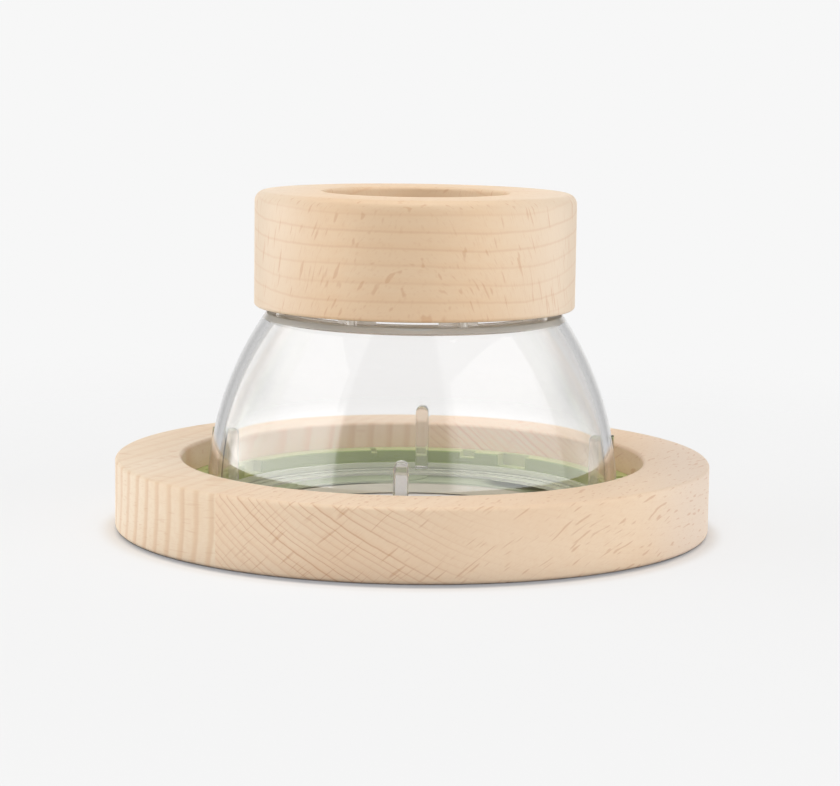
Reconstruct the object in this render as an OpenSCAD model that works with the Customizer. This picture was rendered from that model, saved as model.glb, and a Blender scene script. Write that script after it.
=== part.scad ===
// Bug catcher jar: a clear dome with a magnifying wooden cap on a wooden base ring.
// Eight thin blades in the base swing in and close the mouth when the dome is turned.
// Lengths are in millimetres, angles in degrees. The jar stands on z = 0, with its front at -Y.

/* [Mouth and blades] */
// Radius of the open mouth in the underside
mouth_r = 40; // [36:0.5:44]
// Number of blades that close the mouth
blade_count = 8; // [8:1:8]
// Width of each curved blade
blade_w = 16.6; // [16:0.1:17.5]
// Thickness of each blade
blade_t = 0.19; // [0.15:0.01:0.22]
// Height of the free space between one blade and the next
blade_gap = 0.08; // [0.06:0.01:0.12]
// Distance that the open blades are drawn back behind the mouth
blade_tuck = 0.3; // [0.2:0.1:0.6]
// Radius of the pin that each blade swings on
pivot_pin_r = 0.9; // [0.7:0.05:1.1]
// Distance from a blade's outer edge to the pin that it swings on
pivot_out = 2.1; // [1.9:0.1:2.4]
// Radius of the pin that drives each blade
drive_pin_r = 0.75; // [0.6:0.05:0.9]
// Distance between a blade's two pins
pin_spacing = 2.7; // [2.5:0.1:3]

/* [Bottom plate] */
// Height of the plate's underside above the table
plate_lift = 2.1; // [1.6:0.1:3]
// Thickness of the plate under the blades
plate_t = 0.5; // [0.4:0.1:0.8]
// Width of the plate's rim that is screwed to the wood
plate_rim = 4; // [3.8:0.1:4.5]
// Thickness of the skirt that hangs from the plate around the mouth
skirt_w = 1.2; // [0.8:0.1:2]
// Height of the free space between that skirt and the table
skirt_gap = 0.3; // [0.2:0.1:0.5]

/* [Drive ring] */
// Thickness of the thin lip around the mouth
lip_t = 0.6; // [0.4:0.05:0.75]
// Width of the thin lip
lip_w = 3; // [2.6:0.1:3.2]
// Width of the step between the lip and the rim
step_w = 1.7; // [1.5:0.1:2]
// Thickness of the drive ring at that step
step_t = 0.9; // [0.8:0.05:1]
// Width of the rim that the dome's foot goes around
rim_w = 1.45; // [1.2:0.05:1.6]
// Height of that rim above the drive ring's flange
rim_h = 1.1; // [0.7:0.1:1.4]
// Thickness of the flange with the cam slots
flange_t = 1.15; // [1:0.05:1.4]

/* [Iris housing] */
// Thickness of the housing's plate over the drive ring
cover_t = 1.45; // [1.2:0.05:1.8]
// Height of the collar around the dome's foot, above that plate
collar_h = 2.4; // [1.8:0.1:2.8]
// Thickness of the collar
collar_w = 5.4; // [4.8:0.1:5.8]
// Depth of the notches in the collar's inner face
notch_reach = 3.2; // [2.5:0.1:3.6]

/* [Base ring] */
// Height of the wooden base ring
base_h = 16.4; // [14:0.2:18]
// Thickness of the wood outside the iris housing
base_wall = 6.5; // [6:0.1:8]
// Rounding of the wooden base ring's edges
base_round = 0.9; // [0.5:0.1:1.4]
// Direction of the glue joint and of the boards, from the depth axis
board_angle = 20; // [10:1:30]
// Distance of the glue joint from the centre
seam_offset = 16.9; // [14:0.1:20]

/* [Dome] */
// Thickness of the clear wall
wall = 2.2; // [1.8:0.1:2.4]
// Height at which the upright foot starts to curve inward
dome_start_z = 6.4; // [6.4:0.1:8]
// Radius of the curve in the dome's side
dome_arc_r = 77; // [72:0.5:82]
// Height of the dome's top deck above the table
deck_z = 50.3; // [49:0.1:51.5]
// Rounding of the shoulder between side and deck
shoulder_round = 0.5; // [0.3:0.1:1]
// Width of the four ribs inside the dome
rib_w = 3.2; // [2.4:0.1:3.4]
// Height of the ribs' rounded tops above the table
rib_top_z = 22.1; // [18:0.1:26]
// Distance that the ribs stand in from the dome's foot
rib_reach = 4.6; // [3.5:0.1:4.8]

/* [Neck and vent] */
// Width of the dome's deck around the neck
deck_w = 4.6; // [4:0.1:5.5]
// Thickness of the neck
neck_wall = 1.8; // [1.4:0.1:2.2]
// Height of the neck above the deck
neck_h = 11.7; // [11:0.1:13]
// Height of the air gap between deck and cap
vent_gap = 1.4; // [1:0.1:2]
// Number of posts that carry the cap over the air gap
post_count = 8; // [6:1:10]
// Radius of each post
post_r = 1; // [0.8:0.1:1.2]
// Distance of the posts' middles from the deck's outer corner
post_inset = 2; // [1.6:0.1:2.4]
// Width of the air slots in the neck
vent_slot_w = 14; // [10:0.5:16]

/* [Cap and lens] */
// Thickness of the wood around the neck
cap_wall = 7.4; // [6.5:0.1:10]
// Height of the wooden cap
cap_h = 26.8; // [24:0.2:30]
// Radius of the viewing hole
view_r = 21.6; // [20:0.1:23]
// Rounding of the cap's upper outer edge
cap_round = 2.4; // [1.5:0.1:3]
// Rounding of the viewing hole's edge
view_round = 0.8; // [0.5:0.1:1.6]
// Rounding of the cap's lower edge
cap_low_round = 0.8; // [0.4:0.1:1.2]
// Thickness of the ring that seats the lens on the neck
seat_t = 2; // [1.5:0.1:2.6]
// Width of the lens's flat rim
lens_rim_w = 2.5; // [2:0.1:3]
// Thickness of that rim
lens_rim_t = 2; // [1.6:0.1:2.4]
// Radius of the lens's curved faces
lens_face_r = 100; // [90:1:120]
// Thickness of the soft ring between lens and wood
gasket_t = 1.9; // [1.5:0.1:2.2]

/* [Fasteners] */
// Number of screws that hold the housing, and again the bottom plate
screw_count = 6; // [5:1:8]
// Radius of the screws' shanks
screw_r = 0.8; // [0.6:0.05:0.9]
// Radius of the screws' countersunk heads
screw_head_r = 1.6; // [1.4:0.05:1.7]
// Length of the screws under the head
screw_l = 6.5; // [5.5:0.5:7]

/* [Clearances] */
// Radial play of a pin in its hole or slot
pin_play = 0.05; // [0.02:0.01:0.09]
// Free space between pieces that are pressed, glued or screwed together
joint_gap = 0.05; // [0.03:0.01:0.1]
// Free space between the turning dome and the housing
turn_gap = 0.4; // [0.3:0.05:0.5]
// Free height between the drive ring and the housing's plate
drive_gap = 0.12; // [0.1:0.01:0.2]

/* [Hidden] */

$fn = 96;
overrun = 1;

// Turning angles: the dome turns by dome_turn while each blade swings by blade_swing
dome_turn = 30;
blade_swing = 57;
pin_lead = 50;

// Blade outline, as angles along the blade from the pin that it swings on
blade_root_angle = 8;
blade_tip_angle = 104;
blade_in_r = mouth_r + blade_tuck;
blade_out_r = blade_in_r + blade_w;
blade_mid_r = blade_in_r + blade_w / 2;
pivot_r = blade_out_r + pivot_out;
ear_edge = 0.7;
pivot_ear_r = pivot_pin_r + ear_edge;
drive_ear_r = drive_pin_r + ear_edge;
blade_angle = 360 / blade_count;

// Heights of the iris, from the table up
plate_top = plate_lift + plate_t;
blade_pitch = blade_t + blade_gap;
first_blade_z = plate_top + blade_gap;
drive_z = first_blade_z + blade_count * blade_pitch;
flange_top = drive_z + flange_t;
cover_z = flange_top + drive_gap;
cover_top = cover_z + cover_t;
collar_top = cover_top + collar_h;
pin_inset = 0.1;

// Radii of the iris, from the mouth out
step_r = mouth_r + lip_w;
rim_r = step_r + step_w;
foot_in_r = rim_r + rim_w + joint_gap;
foot_r = foot_in_r + wall;
collar_r = foot_r + turn_gap;
base_hole_r = collar_r + collar_w + joint_gap;
slot_half_w = drive_pin_r + pin_play;
pin_far_r = pivot_r + pin_spacing;
flange_edge = 0.3;
flange_r = pin_far_r + slot_half_w + flange_edge;
housing_r = flange_r + turn_gap;
rebate_r = housing_r + joint_gap;
base_r = rebate_r + base_wall;
plate_r = rebate_r + plate_rim;
plate_mouth_r = mouth_r;

// Notches in the collar: angle from each rib, width and depth, four times round
rib_count = 4;
narrow_notch = [0, 2.7, 1.3];
near_notch = [-14, 4, 1.5];
far_notch = [15, 1.6, 0.8];
wide_notch = [-29, 8.4, 3];
notches = [narrow_notch, near_notch, far_notch, wide_notch];

// Dome outline
dome_centre = [foot_r - dome_arc_r, dome_start_z];
deck_angle = asin((deck_z - dome_start_z) / dome_arc_r);
deck_r = dome_centre[0] + dome_arc_r * cos(deck_angle);
arc_steps = 10;
shoulder_steps = 6;
rib_foot_gap = 0.05;

// Neck, cap and lens
neck_r = deck_r - deck_w;
neck_top = deck_z + neck_h;
cap_z = deck_z + vent_gap;
cap_top = cap_z + cap_h;
vent_slot_edge = 0.1;
seat_z = neck_top + joint_gap;
seat_r = neck_r;
lens_z = seat_z + seat_t + joint_gap;
lens_r = neck_r - joint_gap;
gasket_z = lens_z + lens_rim_t + joint_gap;
ledge_z = gasket_z + gasket_t + joint_gap;
cap_bore_r = neck_r + joint_gap;
cap_r = cap_bore_r + cap_wall;
lens_open_r = lens_r - lens_rim_w;
lens_steps = 12;
round_steps = 5;

// Screws
head_h = screw_head_r - screw_r;
housing_screw_r = (base_hole_r + housing_r) / 2;
base_screw_r = rebate_r + plate_rim / 2 - joint_gap;
head_stand = 0.2;
screw_turn = 30;

function ring_point(r, a) = [r * cos(a), r * sin(a)];

// Points of a quarter turn of radius r about a centre, from angle a to angle b
function quarter(centre, r, a, b, steps) =
    [for (i = [0:steps]) centre + ring_point(r, a + (b - a) * i / steps)];

// Place of a drive pin, in the base's frame, when its blade has swung by swing
function drive_pin_at(swing) =
    [pivot_r + pin_spacing * sin(pin_lead - swing), pin_spacing * cos(pin_lead - swing)];

function turned(p, a) = [p[0] * cos(a) - p[1] * sin(a), p[0] * sin(a) + p[1] * cos(a)];

// Centre line of a cam slot: where the drive pin stands in the turned drive ring
function slot_centre(share) = turned(drive_pin_at(blade_swing * share), dome_turn * share);

// Direction of the slot's centre line there, as an angle
slot_probe_share = 0.001;
function slot_heading(share) =
    let (d = slot_centre(share + slot_probe_share) - slot_centre(share - slot_probe_share))
    atan2(d[1], d[0]);

slot_steps = 12;
cap_steps = 6;
function slot_side(side_angle, shares) =
    [for (s = shares) slot_centre(s) + ring_point(slot_half_w, slot_heading(s) + side_angle)];
function slot_end(share, start_angle) =
    [for (i = [1:cap_steps - 1])
        slot_centre(share) + ring_point(slot_half_w, slot_heading(share) + start_angle + 180 * i / cap_steps)];

function slot_outline() = concat(
    slot_side(-90, [for (i = [0:slot_steps]) i / slot_steps]),
    slot_end(1, -90),
    slot_side(90, [for (i = [slot_steps:-1:0]) i / slot_steps]),
    slot_end(0, 90));

module ring(outer, inner, h) {
    difference() {
        cylinder(r = outer, h = h);
        translate([0, 0, -overrun]) cylinder(r = inner, h = h + 2 * overrun);
    }
}

// A flat bar of half width w from point a to point b
module bar(a, b, w, h) {
    d = b - a;
    translate([a[0], a[1], 0]) rotate(atan2(d[1], d[0]))
        translate([0, -w, 0]) cube([norm(d), 2 * w, h]);
}

// A countersunk screw pointing up from its head, or its hole with play around it
module screw_shape(play = 0) {
    cylinder(r1 = screw_head_r + play, r2 = screw_r + play, h = head_h);
    translate([0, 0, head_h - play]) cylinder(r = screw_r + play, h = screw_l - head_h + 2 * play);
    translate([0, 0, -play]) cylinder(r = screw_head_r + play, h = play);
}

module at_screws(r) {
    for (i = [0:screw_count - 1])
        rotate(screw_turn + 360 * i / screw_count) translate([r, 0, 0]) children();
}

module housing_screws_shape(play = 0) {
    at_screws(housing_screw_r) translate([0, 0, cover_z]) screw_shape(play);
}

module base_screws_shape(play = 0) {
    at_screws(base_screw_r) translate([0, 0, plate_lift - head_stand]) screw_shape(play);
}

// Wooden base ring, before it is split into its two boards
module base_ring_blank() {
    difference() {
        rotate_extrude() polygon(concat(
            [[plate_r, 0], [base_r - base_round, 0]],
            quarter([base_r - base_round, base_round], base_round, -90, 0, round_steps),
            quarter([base_r - base_round, base_h - base_round], base_round, 0, 90, round_steps),
            quarter([base_hole_r + base_round, base_h - base_round], base_round, 90, 180, round_steps),
            [[base_hole_r, cover_top + joint_gap], [rebate_r, cover_top + joint_gap],
             [rebate_r, plate_top + joint_gap], [plate_r, plate_top + joint_gap]]));
        housing_screws_shape(joint_gap);
        base_screws_shape(joint_gap);
    }
}

// Half space on the side board's side of the glue joint
module side_of_seam() {
    rotate(-board_angle) translate([-2 * base_r - seam_offset, -2 * base_r, -overrun])
        cube([2 * base_r, 4 * base_r, base_h + 2 * overrun]);
}

module base_ring_main_board() {
    color("burlywood") difference() {
        base_ring_blank();
        side_of_seam();
    }
}

module base_ring_side_board() {
    color("wheat") intersection() {
        base_ring_blank();
        side_of_seam();
    }
}

// Green housing: a plate over the drive ring and a notched collar around the dome's foot
module iris_housing() {
    color("darkseagreen") difference() {
        rotate_extrude() polygon([
            [collar_r, cover_z], [housing_r, cover_z], [housing_r, cover_top],
            [base_hole_r - joint_gap, cover_top], [base_hole_r - joint_gap, collar_top],
            [collar_r, collar_top]]);
        for (i = [0:rib_count - 1], notch = notches)
            rotate(360 * i / rib_count + notch[0])
                translate([collar_r - overrun, -notch[1] / 2, collar_top - notch[2]])
                    cube([notch_reach + overrun, notch[1], notch[2] + overrun]);
        housing_screws_shape(joint_gap);
    }
}

module housing_screws() {
    color("silver") housing_screws_shape();
}

// Thin plate that closes the base from below and holds the blades' pins, with a skirt around the mouth
module bottom_plate() {
    color("beige") difference() {
        union() {
            translate([0, 0, plate_lift]) ring(plate_r - joint_gap, plate_mouth_r, plate_t);
            translate([0, 0, skirt_gap])
                ring(plate_mouth_r + skirt_w, plate_mouth_r, plate_top - skirt_gap);
        }
        for (i = [0:blade_count - 1]) rotate(i * blade_angle)
            translate([pivot_r, 0, plate_lift - overrun])
                cylinder(r = pivot_pin_r + pin_play, h = plate_t + 2 * overrun);
        base_screws_shape(joint_gap);
    }
}

module base_screws() {
    color("silver") base_screws_shape();
}

// Curved blade number i, counted from the lowest, with its two pins
module iris_blade(i) {
    blade_z = first_blade_z + i * blade_pitch;
    root = ring_point(blade_mid_r, blade_root_angle);
    tip = ring_point(blade_mid_r, blade_tip_angle);
    pivot = [pivot_r, 0];
    drive_pin = drive_pin_at(0);
    reach = 2 * blade_out_r;
    color("seagreen") rotate(i * blade_angle) union() {
        translate([0, 0, blade_z]) {
            intersection() {
                ring(blade_out_r, blade_in_r, blade_t);
                linear_extrude(height = blade_t) polygon([[0, 0],
                    ring_point(reach, blade_root_angle),
                    ring_point(reach, (blade_root_angle + blade_tip_angle) / 2),
                    ring_point(reach, blade_tip_angle)]);
            }
            translate(root) cylinder(r = blade_w / 2, h = blade_t);
            translate(tip) cylinder(r = blade_w / 2, h = blade_t);
            translate(pivot) cylinder(r = pivot_ear_r, h = blade_t);
            translate(drive_pin) cylinder(r = drive_ear_r, h = blade_t);
            bar(root, pivot, pivot_ear_r, blade_t);
            bar(pivot, drive_pin, drive_ear_r, blade_t);
        }
        translate([pivot_r, 0, plate_lift + blade_gap])
            cylinder(r = pivot_pin_r, h = blade_z + blade_t - plate_lift - blade_gap);
        translate([drive_pin[0], drive_pin[1], blade_z])
            cylinder(r = drive_pin_r, h = flange_top - pin_inset - blade_z);
    }
}

// Clear ring under the dome, with one cam slot for each blade
module drive_ring() {
    color("lightcyan") difference() {
        rotate_extrude() polygon([
            [mouth_r, drive_z], [flange_r, drive_z], [flange_r, flange_top],
            [rim_r + rim_w, flange_top], [rim_r + rim_w, flange_top + rim_h],
            [rim_r, flange_top + rim_h], [rim_r, drive_z + step_t],
            [step_r, drive_z + step_t], [step_r, drive_z + lip_t], [mouth_r, drive_z + lip_t]]);
        for (i = [0:blade_count - 1]) rotate(i * blade_angle)
            translate([0, 0, drive_z - overrun]) linear_extrude(height = flange_t + 2 * overrun)
                polygon(slot_outline());
        for (i = [0:rib_count - 1]) rotate(360 * i / rib_count)
            translate([rim_r - overrun, -rib_w / 2 - joint_gap, drive_z + step_t])
                cube([rim_w + 2 * overrun, rib_w + 2 * joint_gap, flange_t + rim_h + overrun]);
    }
}

// Half outline of the dome's wall and deck, from the foot up and back down inside
function dome_outline() =
    let (
        shoulder_reach = dome_arc_r - shoulder_round,
        shoulder_angle = asin((deck_z - shoulder_round - dome_start_z) / shoulder_reach),
        shoulder_centre = dome_centre + ring_point(shoulder_reach, shoulder_angle),
        inner_arc_r = dome_arc_r - wall,
        inner_deck = deck_z - wall,
        inner_angle = asin((inner_deck - dome_start_z) / inner_arc_r)
    )
    concat(
        [[foot_in_r, flange_top + rib_foot_gap], [foot_r, flange_top + rib_foot_gap]],
        quarter(dome_centre, dome_arc_r, 0, shoulder_angle, arc_steps),
        quarter(shoulder_centre, shoulder_round, shoulder_angle, 90, shoulder_steps),
        [[neck_r, deck_z], [neck_r, neck_top], [neck_r - neck_wall, neck_top],
         [neck_r - neck_wall, inner_deck]],
        quarter(dome_centre, inner_arc_r, inner_angle, 0, arc_steps));

// Upright rib with a round top, cut to the inside of the wall
module dome_rib() {
    rib_foot = drive_z + step_t + rib_foot_gap;
    rib_in_r = foot_in_r - rib_reach;
    rib_out_r = foot_in_r + wall / 2;
    trunk = rib_top_z - rib_w / 2 - rib_foot;
    translate([rib_in_r, -rib_w / 2, rib_foot])
        cube([foot_in_r - joint_gap - rim_w - rib_in_r, rib_w, flange_top + rim_h - rib_foot]);
    translate([rim_r, -rib_w / 2, rib_foot])
        cube([rim_w - joint_gap, rib_w, flange_top + rim_h - rib_foot]);
    translate([rib_in_r, -rib_w / 2, flange_top + rim_h])
        cube([rib_out_r - rib_in_r, rib_w, trunk - (flange_top + rim_h - rib_foot)]);
    translate([rib_in_r, 0, rib_top_z - rib_w / 2]) rotate([0, 90, 0])
        cylinder(r = rib_w / 2, h = rib_out_r - rib_in_r);
}

module dome() {
    color("aliceblue", 0.5) union() {
        difference() {
            rotate_extrude() polygon(dome_outline());
            for (i = [0:post_count - 1]) rotate(360 * i / post_count)
                translate([neck_r - neck_wall - overrun, -vent_slot_w / 2, deck_z + vent_slot_edge])
                    cube([neck_wall + 2 * overrun, vent_slot_w, vent_gap - 2 * vent_slot_edge]);
        }
        for (i = [0:post_count - 1]) rotate(360 * (i + 1 / 2) / post_count)
            translate([deck_r - post_inset, 0, deck_z - wall / 2])
                cylinder(r = post_r, h = wall / 2 + vent_gap - joint_gap);
        for (i = [0:rib_count - 1]) rotate(360 * i / rib_count) dome_rib();
    }
}

// Wooden cap with its viewing hole and, from below, the bore that takes neck and lens
module cap_ring() {
    color("burlywood") rotate_extrude() polygon(concat(
        [[cap_bore_r, cap_z]],
        quarter([cap_r - cap_low_round, cap_z + cap_low_round], cap_low_round, -90, 0, round_steps),
        quarter([cap_r - cap_round, cap_top - cap_round], cap_round, 0, 90, round_steps),
        quarter([view_r + view_round, cap_top - view_round], view_round, 90, 180, round_steps),
        [[view_r, ledge_z], [cap_bore_r, ledge_z]]));
}

module lens_seat_ring() {
    color("whitesmoke") translate([0, 0, seat_z]) ring(seat_r, lens_open_r, seat_t);
}

// Lens with two bulging faces inside a flat rim
module magnifying_lens() {
    face_drop = sqrt(lens_face_r * lens_face_r - lens_open_r * lens_open_r);
    face_angle = asin(lens_open_r / lens_face_r);
    low = [0, lens_z + face_drop];
    high = [0, lens_z + lens_rim_t - face_drop];
    color("azure") rotate_extrude() polygon(concat(
        quarter(low, lens_face_r, -90, -90 + face_angle, lens_steps),
        [[lens_r, lens_z], [lens_r, lens_z + lens_rim_t]],
        quarter(high, lens_face_r, 90 - face_angle, 90, lens_steps)));
}

module lens_gasket() {
    color("gray") translate([0, 0, gasket_z]) ring(lens_r, lens_open_r, gasket_t);
}

base_ring_main_board();
base_ring_side_board();
iris_housing();
housing_screws();
bottom_plate();
base_screws();
iris_blade(0);  // iris_blade_1
iris_blade(1);  // iris_blade_2
iris_blade(2);  // iris_blade_3
iris_blade(3);  // iris_blade_4
iris_blade(4);  // iris_blade_5
iris_blade(5);  // iris_blade_6
iris_blade(6);  // iris_blade_7
iris_blade(7);  // iris_blade_8
drive_ring();
dome();
cap_ring();
lens_seat_ring();
magnifying_lens();
lens_gasket();
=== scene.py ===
"""Bug catcher jar: looks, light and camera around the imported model.

Sizes are in millimetres, and MM turns them into metres where a mesh, shader, lamp or camera is made.
The model frame is the CAD's: the jar stands on z = 0 with its front at -Y.
"""

import math

import bmesh
import bpy
from mathutils import Matrix, Vector


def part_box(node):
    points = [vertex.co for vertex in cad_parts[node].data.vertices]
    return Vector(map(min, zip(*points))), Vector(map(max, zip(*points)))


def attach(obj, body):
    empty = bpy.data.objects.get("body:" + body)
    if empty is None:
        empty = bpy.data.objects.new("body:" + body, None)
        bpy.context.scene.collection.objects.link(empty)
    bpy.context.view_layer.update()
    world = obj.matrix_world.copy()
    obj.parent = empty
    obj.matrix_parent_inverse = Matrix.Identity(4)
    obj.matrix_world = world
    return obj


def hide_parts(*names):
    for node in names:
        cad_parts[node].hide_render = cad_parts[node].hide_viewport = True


MM = 0.001

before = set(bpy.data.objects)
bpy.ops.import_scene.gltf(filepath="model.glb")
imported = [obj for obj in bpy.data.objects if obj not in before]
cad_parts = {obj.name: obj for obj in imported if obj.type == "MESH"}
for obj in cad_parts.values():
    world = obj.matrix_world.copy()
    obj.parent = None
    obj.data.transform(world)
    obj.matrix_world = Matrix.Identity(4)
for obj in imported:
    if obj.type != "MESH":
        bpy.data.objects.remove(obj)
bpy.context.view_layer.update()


def top_of(node):
    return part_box(node)[1].z / MM


def foot_of(node):
    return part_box(node)[0].z / MM


def radius_of(node):
    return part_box(node)[1].x / MM


# Base ring and its two boards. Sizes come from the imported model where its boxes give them.
base_r = radius_of("base_ring_main_board")
base_h = top_of("base_ring_main_board")
base_round = 0.9
board_angle = math.radians(20)
seam_offset = 16.9

# Clearances, and how far a cutter reaches beyond what it cuts
joint_gap = 0.05
turn_gap = 0.4
overrun = 1.0

# Drive ring
mouth_r = 40.0
lip_w = 3.0
step_w = 1.7
rim_w = 1.45
rim_r = mouth_r + lip_w + step_w
flange_t = 1.15
flange_top = foot_of("drive_ring") + flange_t

# Iris housing and the hole that it sits in
wall = 2.2
foot_in_r = rim_r + rim_w + joint_gap
foot_r = foot_in_r + wall
collar_r = foot_r + turn_gap
collar_w = 5.4
collar_top = top_of("iris_housing")
base_hole_r = collar_r + collar_w + joint_gap
housing_r = radius_of("iris_housing")
housing_round = 0.3
rebate_r = housing_r + joint_gap
plate_r = radius_of("bottom_plate") + joint_gap
plate_top = top_of("bottom_plate")
cover_z = foot_of("iris_housing")
cover_t = 1.45
cover_top = cover_z + cover_t
notch_reach = 3.2

# Dome, with its ribs, posts and air slots
foot_round = 0.4
rib_w = 3.2
rib_top_z = 22.1
rib_reach = 4.6
rib_round = 0.9
dome_start_z = 6.4
dome_arc_r = 77.0
dome_centre = (foot_r - dome_arc_r, dome_start_z)
deck_z = 50.3
shoulder_round = 0.5
deck_w = 4.6
neck_wall = 1.8
vent_gap = 1.4
vent_slot_w = 14.0
vent_slot_edge = 0.1
rib_count = 4
post_count = 8
post_r = 1.0
post_inset = 2.0
neck_top = top_of("dome")
deck_angle = math.asin((deck_z - dome_start_z) / dome_arc_r)
deck_r = dome_centre[0] + dome_arc_r * math.cos(deck_angle)
neck_r = deck_r - deck_w

# Cap
cap_r = radius_of("cap_ring")
cap_z = foot_of("cap_ring")
cap_top = top_of("cap_ring")
cap_bore_r = neck_r + joint_gap
cap_round = 2.4
cap_low_round = 0.8
view_r = 21.6
view_round = 0.8
ledge_z = top_of("lens_gasket") + joint_gap

# Lens
lens_r = radius_of("magnifying_lens")
lens_z = top_of("lens_seat_ring") + joint_gap
lens_rim_t = 2.0
lens_rim_w = 2.5
lens_open_r = lens_r - lens_rim_w
lens_face_r = 100.0

# Steps of the pieces around their axis, and of the arcs in their outlines
AROUND = 288
LENS_AROUND = 128
POST_AROUND = 32
EDGE_STEPS = 8
HOUSING_EDGE_STEPS = 5
FOOT_EDGE_STEPS = 4
RIB_TOP_STEPS = 9
WALL_STEPS = 48
CAP_LOW_STEPS = 6
CAP_HIGH_STEPS = 14
LENS_STEPS = 24

# Edges with a wider angle than this are shaded sharp
SHARP = math.radians(32)


def linear(red, green, blue):
    """The linear colour that shows as these 8-bit screen values."""
    def one(value):
        share = value / 255
        return share / 12.92 if share <= 0.04045 else ((share + 0.055) / 1.055) ** 2.4
    return (one(red), one(green), one(blue), 1.0)


# Outlines and meshes


def arc(centre, radius, start, end, steps):
    """Points of an arc about a centre, from one angle to another, in degrees."""
    points = []
    for i in range(steps + 1):
        angle = math.radians(start + (end - start) * i / steps)
        points.append((centre[0] + radius * math.cos(angle), centre[1] + radius * math.sin(angle)))
    return points


def turned_rings(mesh, outline, around):
    """An outline of (radius, height) points, repeated around the vertical axis."""
    rings = []
    for i in range(around):
        angle = 2 * math.pi * i / around
        across, along = math.cos(angle) * MM, math.sin(angle) * MM
        rings.append([mesh.verts.new((r * across, r * along, z * MM)) for r, z in outline])
    return rings


def turned_mesh(name, outline):
    """A closed outline of (radius, height) points turned about the vertical axis."""
    mesh = bmesh.new()
    rings = turned_rings(mesh, outline, AROUND)
    count = len(outline)
    for i, ring in enumerate(rings):
        following = rings[(i + 1) % AROUND]
        for j in range(count):
            k = (j + 1) % count
            mesh.faces.new((ring[j], following[j], following[k], ring[k]))
    return finished_object(name, mesh)


def turned_solid(name, outline, around):
    """As turned_mesh, for an outline that starts and ends on the axis."""
    mesh = bmesh.new()
    first = mesh.verts.new((0, 0, outline[0][1] * MM))
    last = mesh.verts.new((0, 0, outline[-1][1] * MM))
    rings = turned_rings(mesh, outline[1:-1], around)
    for i, ring in enumerate(rings):
        following = rings[(i + 1) % around]
        mesh.faces.new((first, following[0], ring[0]))
        for j in range(len(ring) - 1):
            mesh.faces.new((ring[j], following[j], following[j + 1], ring[j + 1]))
        mesh.faces.new((ring[-1], following[-1], last))
    return finished_object(name, mesh)


def finished_object(name, mesh):
    """Links a bmesh as an object with outward normals and smooth shading between sharp edges."""
    bmesh.ops.recalc_face_normals(mesh, faces=mesh.faces)
    if mesh.calc_volume(signed=True) < 0:
        bmesh.ops.reverse_faces(mesh, faces=mesh.faces)
    data = bpy.data.meshes.new(name)
    mesh.to_mesh(data)
    mesh.free()
    piece = bpy.data.objects.new(name, data)
    bpy.context.scene.collection.objects.link(piece)
    shade(piece)
    return piece


def shade(piece):
    piece.data.shade_smooth()
    piece.data.set_sharp_from_angle(angle=SHARP)


def cut_by_plane(piece, point, normal):
    """Removes what lies on the plane's normal side and closes the cut."""
    mesh = bmesh.new()
    mesh.from_mesh(piece.data)
    geometry = mesh.verts[:] + mesh.edges[:] + mesh.faces[:]
    bmesh.ops.bisect_plane(mesh, geom=geometry, plane_co=point, plane_no=normal, clear_outer=True)
    rim = [edge for edge in mesh.edges if edge.is_boundary]
    bmesh.ops.holes_fill(mesh, edges=rim, sides=0)
    bmesh.ops.recalc_face_normals(mesh, faces=mesh.faces)
    mesh.to_mesh(piece.data)
    mesh.free()
    shade(piece)


def block(name, corners_low, corners_high, turn):
    """A box cutter between two corners in millimetres, turned about the vertical axis."""
    mesh = bmesh.new()
    bmesh.ops.create_cube(mesh, size=1)
    low, high = Vector(corners_low) * MM, Vector(corners_high) * MM
    size = high - low
    middle = (low + high) / 2
    place = Matrix.Rotation(turn, 4, "Z") @ Matrix.Translation(middle) @ Matrix.Diagonal((*size, 1))
    bmesh.ops.transform(mesh, matrix=place, verts=mesh.verts)
    return finished_object(name, mesh)


def joined(name, pieces):
    """One object from several that don't touch one another."""
    mesh = bmesh.new()
    for piece in pieces:
        mesh.from_mesh(piece.data)
        bpy.data.objects.remove(piece)
    return finished_object(name, mesh)


def boolean(piece, tool, operation):
    """Applies a boolean with another object, which is then removed."""
    modifier = piece.modifiers.new("boolean", "BOOLEAN")
    modifier.object = tool
    modifier.operation = operation
    modifier.solver = "EXACT"
    depsgraph = bpy.context.evaluated_depsgraph_get()
    data = bpy.data.meshes.new_from_object(piece.evaluated_get(depsgraph))
    piece.modifiers.clear()
    piece.data = data
    bpy.data.objects.remove(tool)
    shade(piece)


def dress(piece, material, body, slot, *nodes):
    """Gives a piece its material and the body that it rides on, and hides the nodes that it stands for."""
    piece.data.materials.clear()
    piece.data.materials.append(material)
    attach(piece, body)
    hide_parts(*nodes)


# Materials


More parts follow.
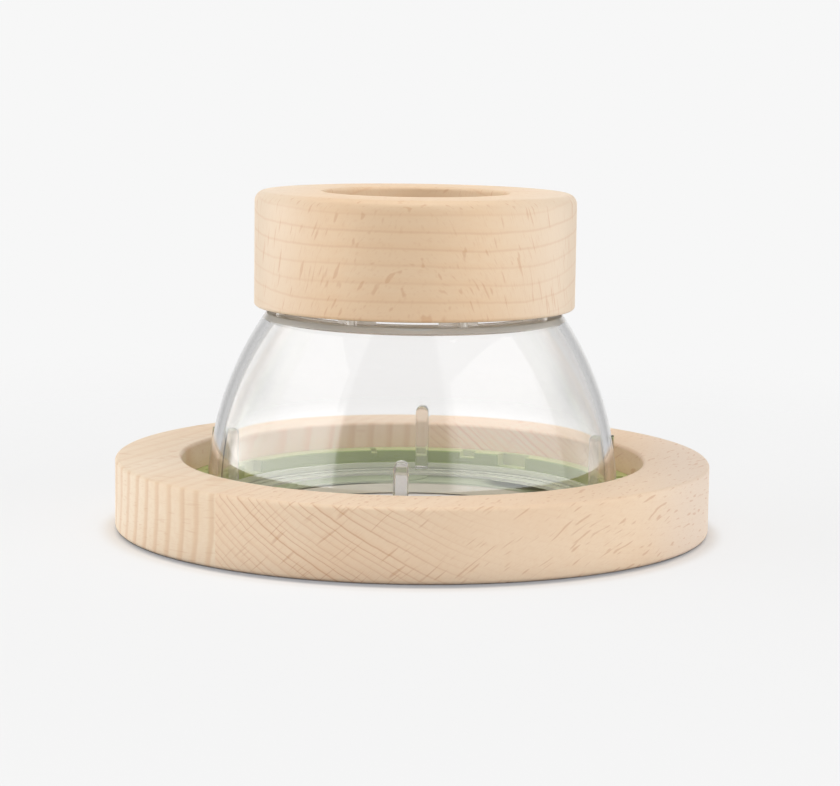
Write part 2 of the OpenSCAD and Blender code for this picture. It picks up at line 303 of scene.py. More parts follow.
class Shading:
    """The nodes of a material or a world under construction. Sockets are passed between its methods."""

    def __init__(self, made, output="OutputMaterial"):
        self.made = made
        self.made.use_nodes = True
        self.tree = self.made.node_tree
        self.tree.nodes.clear()
        self.output = self.node(output)

    def node(self, kind, **settings):
        made = self.tree.nodes.new("ShaderNode" + kind)
        for key, value in settings.items():
            setattr(made, key, value)
        return made

    def put(self, socket, value):
        """Links a socket to another, or gives it a constant. None leaves it as it is."""
        if isinstance(value, bpy.types.NodeSocket):
            self.tree.links.new(value, socket)
        elif value is not None:
            socket.default_value = value

    def math(self, operation, a, b=None, c=None):
        made = self.node("Math", operation=operation)
        for socket, value in zip(made.inputs, (a, b, c)):
            self.put(socket, value)
        return made.outputs[0]

    def place(self):
        return self.node("TexCoord").outputs["Object"]

    def parts(self, vector):
        made = self.node("SeparateXYZ")
        self.put(made.inputs[0], vector)
        return made.outputs[0], made.outputs[1], made.outputs[2]

    def vector(self, x, y, z):
        made = self.node("CombineXYZ")
        for socket, value in zip(made.inputs, (x, y, z)):
            self.put(socket, value)
        return made.outputs[0]

    def along(self, vector, direction):
        """Distance along a direction."""
        made = self.node("VectorMath", operation="DOT_PRODUCT")
        self.put(made.inputs[0], vector)
        made.inputs[1].default_value = direction
        return made.outputs["Value"]

    def reach(self, a, b):
        """Length of the line to a point with these two coordinates."""
        squares = [self.math("MULTIPLY", one, one) for one in (a, b)]
        return self.math("SQRT", self.math("ADD", *squares))

    def noise(self, vector, scale, detail):
        made = self.node("TexNoise")
        self.put(made.inputs["Vector"], vector)
        made.inputs["Scale"].default_value = scale
        made.inputs["Detail"].default_value = detail
        return made.outputs["Fac"]

    def between(self, value, low, high, to_low=0.0, to_high=1.0, smooth=True):
        """Carries a value from one range to another, with soft ends where smooth is set."""
        made = self.node("MapRange", interpolation_type="SMOOTHSTEP" if smooth else "LINEAR")
        self.put(made.inputs["Value"], value)
        made.inputs["From Min"].default_value = low
        made.inputs["From Max"].default_value = high
        made.inputs["To Min"].default_value = to_low
        made.inputs["To Max"].default_value = to_high
        return made.outputs["Result"]

    def mixed(self, share, a, b):
        made = self.node("Mix", data_type="RGBA")
        self.put(made.inputs["Factor"], share)
        self.put(made.inputs[6], a)
        self.put(made.inputs[7], b)
        return made.outputs[2]

    def bump(self, height, distance, strength):
        made = self.node("Bump")
        self.put(made.inputs["Height"], height)
        made.inputs["Distance"].default_value = distance
        made.inputs["Strength"].default_value = strength
        return made.outputs[0]

    def principled(self, **sockets):
        made = self.node("BsdfPrincipled")
        for key, value in sockets.items():
            self.put(made.inputs[key.replace("_", " ")], value)
        return made

    def chosen(self, share, one, other):
        """One shader where share is 0 and the other where it is 1."""
        made = self.node("MixShader")
        for socket, value in zip(made.inputs, (share, one, other)):
            self.put(socket, value)
        return made.outputs[0]

    def done(self, shader):
        self.tree.links.new(shader, self.output.inputs["Surface"])
        return self.made


def new_shading(name):
    return Shading(bpy.data.materials.new(name))


# How far the wood's rings stray, in millimetres, and how long their wide and narrow spells last
RING_WANDER = 2.6
RING_RIPPLE = 0.35
SPELL_YEARS = 3.0

# Shares of their strength that lines, rings and rays keep where they are weakened
WEAK_LINE = 0.25
WORN_FACE = 0.35
PLAIN_RINGS = 0.1
WEAK_RAYS = 0.3

# Sizes of rays, fine rays and pores in millimetres, and how strongly the small ones show
RAY_BEND = 2.0
RAY_SIZE = (9.0, 0.45)
FINE_RAY_SIZE = (0.9, 3.0, 0.16)
FINE_RAY_STRENGTH = 0.12
PORE_SIZE = (1.4, 0.11, 0.11)
PORE_STRENGTH = 0.08

# Tone of the painted shade under a wood piece, the height over which it ends, and how strongly wood mirrors
UNDERSIDE_SHADE_TONE = linear(150, 143, 130)
UNDERSIDE_SHADE_EDGE = 0.2
WOOD_GLOSS = 0.4

# Depths of the fine relief in millimetres
GRAIN_RELIEF = 0.02
MOULD_RELIEF = 0.01
SCRATCH_RELIEF = 0.005
MOULD_WAVE = 0.02

# Distances from a piece's inner face between which the painted shade on that face ends, in millimetres
FACE_SHADE_START = 0.1
FACE_SHADE_END = 0.5

# Clear plastic, and the frosting on the dome's shoulder and ribs
CLEAR_IOR = 1.49
FROSTED_CLEARNESS = 0.2
FROSTED_BELOW_DECK = 1.2
FROST_EDGE = 0.1
RIB_FROSTING = 0.25
SHOULDER_TONE = linear(222, 218, 210)
VENT_TONE = linear(240, 234, 224)


def beech(
        name, fibre_angle, ring_centre, ring_gap, ray_lean, pale, ring_tone, ray_tone, stripes, lines, rays,
        ray_length, uneven=0.0, plain=None, painted_sheen=None, shade_below_z=None):
    """Beech cut from one board.

    fibre_angle turns the fibres from the Y axis towards X, ring_centre is the middle of the
    growth rings across the fibres, ring_gap their distance, and ray_lean the slope of the rays,
    which run across the rings. stripes is how strongly each ring darkens across its width, lines how
    strong its thin late line is, and rays how strong the rays are, which are ray_length long along the
    fibres. uneven is how far the rings' width varies. plain gives three places across the fibres: the
    rays are weak before the first and full past the axis, and the rings fade between the other two.
    The argument after plain gives a paler tone, a painted sheen, which the wood takes between two distances
    from the middle plane.
    What lies under the height that the last argument gives is painted grey, as shade.
    """
    s = new_shading(name)
    place = s.place()
    along = s.along(place, (math.sin(fibre_angle), math.cos(fibre_angle), 0))
    across = s.along(place, (math.cos(fibre_angle), -math.sin(fibre_angle), 0))
    x, _, z = s.parts(place)
    facing_up = s.parts(s.node("NewGeometry").outputs["Normal"])[2]

    def drawn_out(share, scale, detail):
        """Noise that is drawn out along the fibres."""
        return s.noise(s.vector(s.math("MULTIPLY", along, share), across, z), scale, detail)

    def grains(directions, sizes, detail):
        """Noise of these sizes, in millimetres, along three directions."""
        scaled = [s.math("DIVIDE", one, size * MM) for one, size in zip(directions, sizes)]
        return s.noise(s.vector(*scaled), 1.0, detail)

    # Growth rings wander a little along the fibres and around the stem
    stem_r = s.reach(
        s.math("SUBTRACT", across, ring_centre[0] * MM),
        s.math("SUBTRACT", z, ring_centre[1] * MM))
    stem_r = s.math("MULTIPLY_ADD", drawn_out(0.35, 45.0, 1.0), RING_WANDER * MM, stem_r)
    stem_r = s.math("MULTIPLY_ADD", drawn_out(0.2, 420.0, 1.0), RING_RIPPLE * MM, stem_r)
    if uneven:
        spells = s.vector(s.math("DIVIDE", stem_r, SPELL_YEARS * ring_gap * MM), 0.0, 0.0)
        stem_r = s.math("MULTIPLY_ADD", s.noise(spells, 1.0, 0.0), uneven * ring_gap * MM, stem_r)
    years = s.math("DIVIDE", stem_r, ring_gap * MM)
    season = s.math("FRACT", years)

    def season_near(middle, width):
        """1 at this part of the year, and 0 from the width on."""
        away = s.math("ABSOLUTE", s.math("SUBTRACT", season, middle))
        return s.between(away, 0.0, width, 1.0, 0.0)

    late_line = season_near(0.5, 0.12)
    late_fade = season_near(0.38, 0.3)
    each_year = s.noise(s.vector(s.math("FLOOR", years), 0.0, 0.0), 1.7, 0.0)
    line_strength = s.between(each_year, 0.3, 0.7, WEAK_LINE * lines, lines)

    # Faces that look up show less of the rings
    worn = s.between(facing_up, 0.5, 0.95, 1.0, WORN_FACE)
    line_strength = s.math("MULTIPLY", line_strength, worn)
    late_fade = s.math("MULTIPLY", late_fade, worn)
    if plain:
        weak_rays_end, fade_start, fade_end = plain
        faded = s.between(across, fade_start * MM, fade_end * MM, 1.0, PLAIN_RINGS)
        line_strength = s.math("MULTIPLY", line_strength, faded)
        late_fade = s.math("MULTIPLY", late_fade, faded)
        rays = s.between(across, weak_rays_end * MM, 0.0, WEAK_RAYS * rays, rays)

    # Rays are thin upright sheets: short along the fibres, long across the rings
    lean_cos, lean_sin = math.cos(ray_lean), math.sin(ray_lean)
    along_ray = s.math("ADD", s.math("MULTIPLY", across, lean_cos), s.math("MULTIPLY", z, lean_sin))
    beside_ray = s.math("SUBTRACT", s.math("MULTIPLY", z, lean_cos), s.math("MULTIPLY", across, lean_sin))
    beside_ray = s.math("MULTIPLY_ADD", s.noise(place, 62.0, 1.0), RAY_BEND * MM, beside_ray)
    ray_axes = (along, along_ray, beside_ray)
    ray = s.between(grains(ray_axes, (ray_length, *RAY_SIZE), 0.0), 0.66, 0.8)
    fine_ray = s.between(grains(ray_axes, FINE_RAY_SIZE, 0.0), 0.55, 0.85)

    # Pores are short hair lines along the fibres
    pore = s.between(grains((along, across, z), PORE_SIZE, 1.0), 0.6, 0.8)
    cloud = drawn_out(0.3, 38.0, 2.0)
    streak = drawn_out(0.06, 900.0, 2.0)

    colour = s.mixed(s.between(cloud, 0.3, 0.7, 0.0, 0.35), pale, ring_tone)
    colour = s.mixed(s.between(streak, 0.35, 0.75, 0.0, 0.18), colour, ring_tone)
    colour = s.mixed(s.math("MULTIPLY", late_fade, stripes), colour, ring_tone)
    # Painted sheen: paler towards the left and right sides, where the side lamps shine
    if painted_sheen:
        tone, start, end = painted_sheen
        colour = s.mixed(s.between(s.math("ABSOLUTE", x), start * MM, end * MM), colour, tone)
    for mark, strength in (
            (late_line, line_strength), (fine_ray, FINE_RAY_STRENGTH), (ray, rays), (pore, PORE_STRENGTH)):
        colour = s.mixed(s.math("MULTIPLY", mark, strength), colour, ray_tone)
    # Painted shade: grey under the given height
    if shade_below_z:
        colour = s.mixed(s.between(z, shade_below_z * MM, (shade_below_z + UNDERSIDE_SHADE_EDGE) * MM), UNDERSIDE_SHADE_TONE, colour)

    relief = s.math("ADD", s.math("MULTIPLY", pore, -1.0), s.math("MULTIPLY", ray, -0.5))
    rough = s.between(s.math("ADD", cloud, s.math("MULTIPLY", ray, 0.3)), 0.2, 1.0, 0.42, 0.55)
    shader = s.principled(Base_Color=colour, Roughness=rough, Normal=s.bump(relief, GRAIN_RELIEF * MM, 0.6))
    shader.inputs["Specular IOR Level"].default_value = WOOD_GLOSS
    return s.done(shader.outputs[0])


def moulded_plastic(name, tone, dark_tone, roughness, grain_size, face_r=None, face_shade_tone=None):
    """Opaque moulded plastic with a faint uneven tone and a fine eroded surface.

    Where face_r is given, what lies closer to the axis takes the last argument's darker tone, as painted
    shade.
    """
    s = new_shading(name)
    place = s.place()
    cloud = s.noise(place, 60.0, 3.0)
    grain = s.noise(place, 1.0 / (grain_size * MM), 2.0)
    colour = s.mixed(s.between(cloud, 0.35, 0.65, 0.0, 0.35), tone, dark_tone)
    # Painted shade: the inner face takes a darker tone
    if face_r:
        x, y, _ = s.parts(place)
        inside = s.between(s.reach(x, y), (face_r + FACE_SHADE_START) * MM, (face_r + FACE_SHADE_END) * MM)
        colour = s.mixed(inside, face_shade_tone, colour)
    rough = s.between(grain, 0.3, 0.7, roughness - 0.05, roughness + 0.05)
    shader = s.principled(Base_Color=colour, Roughness=rough, Normal=s.bump(grain, MOULD_RELIEF * MM, 0.5))
    return s.done(shader.outputs[0])


def brushed_metal(name, tone, stain_tone, roughness):
    """Steel with fine lines and slight stains."""
    s = new_shading(name)
    place = s.place()
    x, y, z = s.parts(place)
    scratches = s.noise(s.vector(s.math("MULTIPLY", x, 0.2), y, z), 5000.0, 2.0)
    stain = s.noise(place, 500.0, 2.0)
    rough = s.between(scratches, 0.3, 0.7, roughness - 0.08, roughness + 0.1)
    colour = s.mixed(s.between(stain, 0.4, 0.7, 0.0, 0.3), tone, stain_tone)
    shader = s.principled(
        Base_Color=colour, Roughness=rough, Normal=s.bump(scratches, SCRATCH_RELIEF * MM, 0.4))
    shader.inputs["Metallic"].default_value = 1.0
    return s.done(shader.outputs[0])


def clear_plastic(name, tone, passes, milky=0.0, frosted_z=None):
    """Clear moulded plastic. Lamp light and scattered light pass it straight on, as through a thin wall.

    milky is the share of its body that scatters light. Where frosted_z is given, what lies above that
    height is frosted, and so are the ribs, more weakly.
    """
    s = new_shading(name)
    place = s.place()
    wave = s.noise(place, 55.0, 1.0)
    haze = s.between(s.noise(place, 700.0, 2.0), 0.45, 0.8, 0.0, 0.02)
    glass = s.principled(Roughness=haze, Normal=s.bump(wave, MOULD_WAVE * MM, 0.25))
    glass.inputs["Base Color"].default_value = tone
    glass.inputs["IOR"].default_value = CLEAR_IOR
    glass.inputs["Transmission Weight"].default_value = 1.0 - milky
    if frosted_z:
        x, y, height = s.parts(place)
        inner_r = dome_centre[0] + dome_arc_r - 2 * wall
        inward = s.between(
            s.reach(x, y), (inner_r - FROST_EDGE) * MM, inner_r * MM, RIB_FROSTING, 0.0)
        below_rib_top = s.between(
            height, (rib_top_z + FROST_EDGE) * MM, (rib_top_z + 2 * FROST_EDGE) * MM, 1.0, 0.0)
        above = s.between(height, (frosted_z - FROST_EDGE) * MM, frosted_z * MM)
        frosting = s.math("MAXIMUM", s.math("MULTIPLY", inward, below_rib_top), above)
        in_vent = s.between(height, (deck_z - FROST_EDGE) * MM, deck_z * MM)
        frosted_tone = s.mixed(in_vent, SHOULDER_TONE, VENT_TONE)
        clearness = s.between(frosting, 0.0, 1.0, 1.0 - milky, FROSTED_CLEARNESS, False)
        s.put(glass.inputs["Transmission Weight"], clearness)
        s.put(glass.inputs["Base Color"], s.mixed(frosting, tone, frosted_tone))
    open_way = s.node("BsdfTransparent")
    open_way.inputs["Color"].default_value = passes
    light_path = s.node("LightPath").outputs
    either = s.math("MAXIMUM", light_path["Is Shadow Ray"], light_path["Is Diffuse Ray"])
    return s.done(s.chosen(either, glass.outputs[0], open_way.outputs[0]))


# The main board and the cap are painted paler towards their left and right sides, as sheen from the side
# lamps
main_wood = beech(
    "beech_main_board", board_angle,
    ring_centre=(115.0, 170.0), ring_gap=1.65, ray_lean=math.radians(41.7),
    pale=linear(242, 217, 188), ring_tone=linear(232, 197, 162), ray_tone=linear(200, 146, 104),
    stripes=0.38, lines=0.62, rays=0.4, ray_length=2.9,
    uneven=2.2, plain=(-20.0, 14.0, 46.0), painted_sheen=(linear(234, 213, 192), 50.0, 66.0))
side_wood = beech(
    "beech_side_board", board_angle,
    ring_centre=(-190.0, 22.0), ring_gap=4.3, ray_lean=math.radians(4.0),
    pale=linear(244, 224, 198), ring_tone=linear(228, 194, 158), ray_tone=linear(208, 160, 120),
    stripes=0.7, lines=0.25, rays=0.2, ray_length=2.2)
# The cap's underside is painted grey, as shade
cap_wood = beech(
    "beech_cap", math.radians(90),
    ring_centre=(34.0, 201.0), ring_gap=3.8, ray_lean=math.radians(76),
    pale=linear(243, 215, 182), ring_tone=linear(236, 197, 156), ray_tone=linear(208, 148, 98),
    stripes=0.2, lines=0.2, rays=0.32, ray_length=1.5,
    painted_sheen=(linear(242, 222, 198), 14.0, 38.0), shade_below_z=cap_z)

# The collar's inner face is painted darker green, as shade, while its notches' walls further out keep the
# lighter tone
green = moulded_plastic(
    "green_plastic", linear(186, 196, 128), linear(176, 188, 118),
    roughness=0.38, grain_size=0.25, face_r=collar_r, face_shade_tone=linear(142, 166, 68))
pale_plate = moulded_plastic(
    "pale_plate_plastic", linear(234, 231, 214), linear(224, 222, 202), roughness=0.45, grain_size=0.2)
green_blades = moulded_plastic(
    "green_blade_plastic", linear(206, 216, 188), linear(188, 200, 166), roughness=0.4, grain_size=0.2)
white_plastic = moulded_plastic(
    "white_seat_plastic", linear(226, 226, 220), linear(218, 218, 212), roughness=0.4, grain_size=0.2)
rubber = moulded_plastic(
    "gasket_rubber", linear(120, 118, 112), linear(104, 102, 98), roughness=0.7, grain_size=0.15)
steel = brushed_metal("screw_steel", linear(190, 190, 188), linear(150, 150, 148), roughness=0.32)

clear_shell = clear_plastic(
    "clear_shell", (0.995, 0.99, 0.985, 1), passes=(0.97, 0.95, 0.945, 1),
    frosted_z=deck_z - FROSTED_BELOW_DECK)
clear_ring = clear_plastic(
    "clear_drive_ring", linear(228, 233, 214), passes=(0.92, 0.93, 0.89, 1), milky=0.5)
clear_lens = clear_plastic("clear_lens", (0.99, 0.995, 0.99, 1), passes=(0.94, 0.945, 0.94, 1))


# The wooden base ring: one turned ring, split along its glue joint into two boards


def base_ring_outline():
    low = (base_r - base_round, base_round)
    high = (base_r - base_round, base_h - base_round)
    inner = (base_hole_r + base_round, base_h - base_round)
    return (
        [(plate_r, 0.0)]
        + arc(low, base_round, -90, 0, EDGE_STEPS)
        + arc(high, base_round, 0, 90, EDGE_STEPS)
        + arc(inner, base_round, 90, 180, EDGE_STEPS)
        + [(base_hole_r, cover_top + joint_gap), (rebate_r, cover_top + joint_gap),
           (rebate_r, plate_top + joint_gap), (plate_r, plate_top + joint_gap)])


seam_normal = Vector((math.cos(board_angle), -math.sin(board_angle), 0))
seam_point = -seam_normal * seam_offset * MM

main_board = turned_mesh("beech_ring_main_board", base_ring_outline())
cut_by_plane(main_board, seam_point, -seam_normal)
dress(main_board, main_wood, "base", "wood_main", "base_ring_main_board")

side_board = turned_mesh("beech_ring_side_board", base_ring_outline())
cut_by_plane(side_board, seam_point, seam_normal)
dress(side_board, side_wood, "base", "wood_side", "base_ring_side_board")


# The green housing, with its notches


def housing_outline():
    collar_out = base_hole_r - joint_gap
    round_z = collar_top - housing_round
    return (
        [(collar_r, cover_z), (housing_r, cover_z), (housing_r, cover_top), (collar_out, cover_top)]
        + arc((collar_out - housing_round, round_z), housing_round, 0, 90, HOUSING_EDGE_STEPS)
        + arc((collar_r + housing_round, round_z), housing_round, 90, 180, HOUSING_EDGE_STEPS))


# Angle, width and depth of the notches in each quarter
notches = [(0.0, 2.7, 1.3), (-14.0, 4.0, 1.5), (15.0, 1.6, 0.8), (-29.0, 8.4, 3.0)]
notch_tools = []
for quarter in range(4):
    for angle, width, depth in notches:
        turn = math.radians(90 * quarter + angle)
        notch_tools.append(block(
            "notch_tool",
            (collar_r - overrun, -width / 2, collar_top - depth),
            (collar_r + notch_reach, width / 2, collar_top + overrun), turn))
housing = turned_mesh("green_housing", housing_outline())
boolean(housing, joined("notch_tools", notch_tools), "DIFFERENCE")
dress(housing, green, "base", "green_housing", "iris_housing")


# The clear dome with its ribs, posts and air slots


def dome_outline():
    shoulder_reach = dome_arc_r - shoulder_round
    shoulder_angle = math.asin((deck_z - shoulder_round - dome_start_z) / shoulder_reach)
    shoulder_centre = (
        dome_centre[0] + shoulder_reach * math.cos(shoulder_angle),
        dome_centre[1] + shoulder_reach * math.sin(shoulder_angle))
    inner_arc_r = dome_arc_r - wall
    inner_deck = deck_z - wall
    inner_angle = math.degrees(math.asin((inner_deck - dome_start_z) / inner_arc_r))
    foot_z = flange_top + joint_gap
    round_z = foot_z + foot_round
    first_angle = math.degrees(math.asin((round_z - dome_start_z) / inner_arc_r))
    return (
        arc((foot_in_r + foot_round, round_z), foot_round, 180, 270, FOOT_EDGE_STEPS)
        + arc((foot_r - foot_round, round_z), foot_round, 270, 360, FOOT_EDGE_STEPS)
        + arc(dome_centre, dome_arc_r, first_angle, math.degrees(shoulder_angle), WALL_STEPS)
        + arc(shoulder_centre, shoulder_round, math.degrees(shoulder_angle), 90, EDGE_STEPS)
        + [(neck_r, deck_z), (neck_r, neck_top), (neck_r - neck_wall, neck_top),
           (neck_r - neck_wall, inner_deck)]
        + arc(dome_centre, inner_arc_r, inner_angle, first_angle, WALL_STEPS)[:-1])


def rib(turn):
    """An upright rib inside the dome's foot, with a round top and round inner corners."""
    half = rib_w / 2
    out_r = foot_in_r + wall / 2
    round_x = foot_in_r - rib_reach + rib_round
    plan = (
        [(out_r, half)]
        + arc((round_x, half - rib_round), rib_round, 90, 180, EDGE_STEPS)
        + arc((round_x, rib_round - half), rib_round, 180, 270, EDGE_STEPS)
        + [(out_r, -half)])

    # Towards the top the plan gets narrower and its inner side moves outwards
    top_start = rib_top_z - half
    layers = [(foot_of("dome"), 1.0), (top_start, 1.0)]
    for i in range(1, RIB_TOP_STEPS):
        angle = math.pi / 2 * i / RIB_TOP_STEPS
        layers.append((top_start + half * math.sin(angle), math.cos(angle)))
    mesh = bmesh.new()
    rings = []
    for height, share in layers:
        ring = []
        for x, y in plan:
            pulled = x + (1 - share) * half if x < out_r else x
            ring.append(mesh.verts.new((pulled * MM, y * share * MM, height * MM)))
        rings.append(ring)
    for lower, upper in zip(rings, rings[1:]):
        for i in range(len(plan)):
            k = (i + 1) % len(plan)
            mesh.faces.new((lower[i], lower[k], upper[k], upper[i]))
    mesh.faces.new(rings[0])
    mesh.faces.new(rings[-1])
    bmesh.ops.transform(mesh, matrix=Matrix.Rotation(turn, 4, "Z"), verts=mesh.verts)
    return finished_object("rib", mesh)


def post(turn):
    """A post between the dome's deck and the cap."""
    mesh = bmesh.new()
    foot = deck_z - wall / 2
    height = wall / 2 + vent_gap - joint_gap
    bmesh.ops.create_cone(
        mesh, cap_ends=True, segments=POST_AROUND,
        radius1=post_r * MM, radius2=post_r * MM, depth=height * MM)
    place = Matrix.Rotation(turn, 4, "Z") @ Matrix.Translation(
        Vector((deck_r - post_inset, 0, foot + height / 2)) * MM)
    bmesh.ops.transform(mesh, matrix=place, verts=mesh.verts)
    return finished_object("post", mesh)


dome = turned_mesh("clear_dome_shell", dome_outline())
slot_tools = []
for i in range(post_count):
    slot_tools.append(block(
        "slot_tool",
        (neck_r - neck_wall - overrun, -vent_slot_w / 2, deck_z + vent_slot_edge),
        (neck_r + overrun, vent_slot_w / 2, deck_z + vent_gap - vent_slot_edge),
        2 * math.pi * i / post_count))
boolean(dome, joined("slot_tools", slot_tools), "DIFFERENCE")
additions = [rib(2 * math.pi * i / rib_count) for i in range(rib_count)]
additions += [post(2 * math.pi * (i + 0.5) / post_count) for i in range(post_count)]
boolean(dome, joined("dome_additions", additions), "UNION")
dress(dome, clear_shell, "jar_top", "clear_dome", "dome")


# The wooden cap


def cap_outline():
    return (
        [(cap_bore_r, cap_z)]
        + arc((cap_r - cap_low_round, cap_z + cap_low_round), cap_low_round, -90, 0, CAP_LOW_STEPS)
        + arc((cap_r - cap_round, cap_top - cap_round), cap_round, 0, 90, CAP_HIGH_STEPS)
        + arc((view_r + view_round, cap_top - view_round), view_round, 90, 180, EDGE_STEPS)
        + [(view_r, ledge_z), (cap_bore_r, ledge_z)])


cap = turned_mesh("beech_cap_ring", cap_outline())
dress(cap, cap_wood, "jar_top", "wood_cap", "cap_ring")


# The magnifying lens


def lens_outline():
    drop = math.sqrt(lens_face_r ** 2 - lens_open_r ** 2)
    edge = math.degrees(math.asin(lens_open_r / lens_face_r))
    low = (0.0, lens_z + drop)
    high = (0.0, lens_z + lens_rim_t - drop)
    return (
        arc(low, lens_face_r, -90, -90 + edge, LENS_STEPS)
        + [(lens_r, lens_z), (lens_r, lens_z + lens_rim_t)]
        + arc(high, lens_face_r, 90 - edge, 90, LENS_STEPS))


lens = turned_solid("clear_magnifying_lens", lens_outline(), LENS_AROUND)
dress(lens, clear_lens, "jar_top", "clear_lens", "magnifying_lens")


# CAD nodes that stay as they are and get their material here
blade_count = 8
node_materials = {
    "bottom_plate": pale_plate,
    "drive_ring": clear_ring,
    "lens_seat_ring": white_plastic,
    "lens_gasket": rubber,
    "housing_screws": steel,
    "base_screws": steel,
}
for number in range(1, blade_count + 1):
    node_materials[f"iris_blade_{number}"] = green_blades
for node, material in node_materials.items():
    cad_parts[node].material_slots[0].material = material


# Floor, light and camera

camera_turn = math.radians(2.95)
camera_distance = 584.23
camera_height = 110.82
camera_side = 1.574
camera_pitch = 0.1355
camera_roll = 0.0137
camera_lens = 107.33
camera_sensor = 36.0
camera_near = 10.0

# Floor: two numbers in brackets are the places between which a tone or the floor itself fades
floor_r = 600.0
floor_around = 96
floor_fade = (130.0, 350.0)
floor_tone = 0.87
floor_plain = 0.72
floor_plain_w = 4.0
# Painted shadow: the floor's tone darkens in a narrow band before the base, centred a little towards the
# camera
floor_painted_shadow = linear(176, 180, 188)
shade_forward = 4.2
shade_outer = (base_r - 2.6, base_r + 0.2)
shade_inner = (base_r - 12.0, base_r - 8.0)

# Brightness of the room, of what reflections show of it, and of what is seen through clear plastic
room_light = 0.39
mirrored_side = 0.12
mirrored_front = 0.5
front_low = 1.9
box_high = 1.45
left_low = 6.3
right_low = 3.9
box_above = 3.0
seen_aside = 0.82
seen_far_aside = 0.95
backdrop_tone = linear(247, 247, 247)

# Where these parts of the room fade, as the share of a direction that points backwards or upwards
mirrored_backdrop = (0.86, 0.97)
seen_backdrop = (0.981, 0.991)
seen_beside = (0.93, 0.965)
front_fade = (-0.5, 0.2)
above_fade = (0.88, 0.94)
low_fade = (0.46, 0.62)

# Sides of the softboxes that reflections show, in degrees to the right of the camera, and how much
# lower their bright part ends with the square of that angle
left_sides = (-127, -119, -46, -42)
right_sides = (19, 25, 112, 150)
low_bend = 0.113


def make_floor():
    """A pale disc that fades into the backdrop away from the jar, with a narrow painted shadow before the
    base.
    """
    bpy.ops.mesh.primitive_circle_add(vertices=floor_around, radius=floor_r * MM, fill_type="NGON")
    floor = bpy.context.object
    floor.name = "floor"
    s = new_shading("floor_paper")
    x, y, _ = s.parts(s.place())
    reach = s.reach(x, y)
    shade_reach = s.reach(x, s.math("ADD", y, shade_forward * MM))

    def fades(distance, places, to_low=0.0, to_high=1.0):
        return s.between(distance, places[0] * MM, places[1] * MM, to_low, to_high)

    # Painted shadow in a narrow band before the base, kept off the floor under the mouth
    shaded = s.math("MULTIPLY", fades(shade_reach, shade_outer, 1.0, 0.0), fades(reach, shade_inner))
    paper = s.node("BsdfDiffuse")
    s.put(paper.inputs["Color"], s.mixed(shaded, (floor_tone, floor_tone, floor_tone, 1), floor_painted_shadow))
    plain = s.node("Emission")
    plain.inputs["Color"].default_value = backdrop_tone
    plainness = fades(shade_reach, (base_r, base_r + floor_plain_w), 0.0, floor_plain)
    lit = s.chosen(plainness, paper.outputs[0], plain.outputs[0])
    nothing = s.node("BsdfTransparent")
    seen = s.chosen(fades(reach, floor_fade), lit, nothing.outputs[0])
    floor.data.materials.append(s.done(seen))


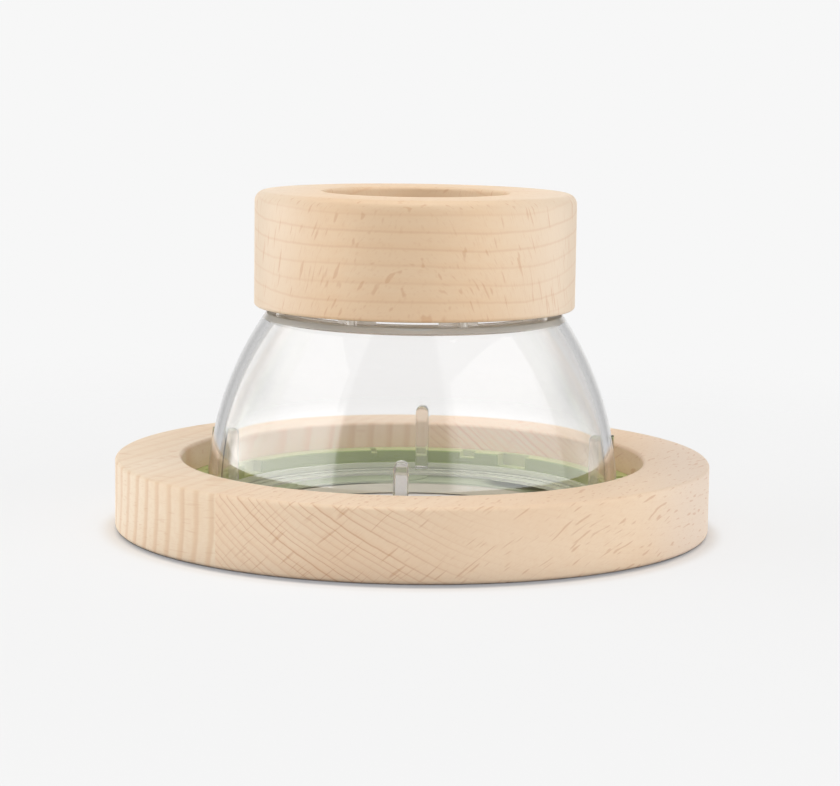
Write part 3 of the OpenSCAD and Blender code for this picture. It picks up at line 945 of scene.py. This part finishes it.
def make_world():
    """An even room for light. In reflections and through glass it is white behind the jar and dim
    elsewhere, and reflections also show two softboxes that are brighter near the table, and one above."""
    world = bpy.data.worlds.new("studio")
    bpy.context.scene.world = world
    s = Shading(world, "OutputWorld")
    path = s.node("LightPath").outputs
    direction = s.node("TexCoord").outputs["Generated"]
    behind = s.along(direction, (-math.sin(camera_turn), math.cos(camera_turn), 0))
    aside = s.along(direction, (math.cos(camera_turn), math.sin(camera_turn), 0))
    up = s.parts(direction)[2]
    azimuth = s.math("ARCTAN2", aside, s.math("MULTIPLY", behind, -1.0))

    def background(colour=None, strength=None):
        made = s.node("Background")
        s.put(made.inputs["Color"], colour)
        s.put(made.inputs["Strength"], strength)
        return made.outputs[0]

    def box(sides):
        """1 between the inner two of four azimuths, fading to 0 at the outer two."""
        start, full, falling, end = [math.radians(side) for side in sides]
        rise = s.between(azimuth, start, full)
        return s.math("MULTIPLY", rise, s.between(azimuth, falling, end, 1.0, 0.0))

    lifted = s.math("MULTIPLY_ADD", s.math("MULTIPLY", azimuth, azimuth), low_bend, up)
    near_table = s.between(lifted, *low_fade, 1.0, 0.0)

    def by_height(high, low):
        return s.between(near_table, 0.0, 1.0, high, low, False)

    in_front = s.between(behind, *front_fade, 1.0, 0.0)
    dim = s.math("MULTIPLY_ADD", in_front, by_height(mirrored_front, front_low), mirrored_side)
    dim = s.math("MULTIPLY_ADD", box(left_sides), by_height(box_high, left_low), dim)
    dim = s.math("MULTIPLY_ADD", box(right_sides), by_height(box_high, right_low), dim)
    dim = s.math("MULTIPLY_ADD", s.between(up, *above_fade), box_above, dim)
    backdrop = background(backdrop_tone, 1.0)
    mirrored = s.chosen(s.between(behind, *mirrored_backdrop), background(None, dim), backdrop)
    beside = s.between(behind, *seen_beside, seen_far_aside, seen_aside)
    through = s.chosen(s.between(behind, *seen_backdrop), background(None, beside), backdrop)
    seen = s.chosen(path["Is Glossy Ray"], background(None, room_light), mirrored)
    seen = s.chosen(path["Is Transmission Ray"], seen, through)
    s.done(s.chosen(path["Is Camera Ray"], seen, backdrop))


def lamp(name, width, depth, radiance):
    """A rectangular area lamp that faces down, with a given brightness of its face."""
    light = bpy.data.lights.new(name, "AREA")
    light.shape = "RECTANGLE"
    light.size = width * MM
    light.size_y = depth * MM
    light.energy = radiance * math.pi * width * depth * MM ** 2
    holder = bpy.data.objects.new(name, light)
    holder.visible_glossy = False
    bpy.context.scene.collection.objects.link(holder)
    return holder


def softbox(name, azimuth, distance, height, width, radiance):
    """An upright rectangular lamp that stands on the table's level and faces the jar.

    azimuth is in degrees, to the right of the camera. Its reflection comes from the world.
    """
    holder = lamp(name, width, height, radiance)
    holder.matrix_world = (
        Matrix.Rotation(math.radians(azimuth) + camera_turn, 4, "Z")
        @ Matrix.Translation(Vector((0, -distance, height / 2)) * MM)
        @ Matrix.Rotation(math.radians(90), 4, "X"))


def top_softbox(height, width, radiance):
    """A square lamp straight above the jar."""
    lamp("top_softbox", width, width, radiance).location.z = height * MM


def make_camera():
    camera = bpy.data.cameras.new("camera")
    camera.lens = camera_lens
    camera.sensor_width = camera_sensor
    camera.sensor_fit = "HORIZONTAL"
    camera.clip_start = camera_near * MM
    holder = bpy.data.objects.new("camera", camera)
    bpy.context.scene.collection.objects.link(holder)
    holder.matrix_world = (
        Matrix.Rotation(camera_turn, 4, "Z")
        @ Matrix.Translation(Vector((camera_side, -camera_distance, camera_height)) * MM)
        @ Matrix.Rotation(math.pi / 2 - camera_pitch, 4, "X")
        @ Matrix.Rotation(camera_roll, 4, "Z"))
    bpy.context.scene.camera = holder


make_floor()
make_world()
softbox("left_softbox", azimuth=-96.0, distance=1200.0, height=1500.0, width=2400.0, radiance=1.26)
softbox("right_softbox", azimuth=62.0, distance=1400.0, height=1500.0, width=1900.0, radiance=1.28)
top_softbox(height=1500.0, width=1500.0, radiance=1.58)
make_camera()

bpy.context.scene.view_settings.view_transform = "Standard"
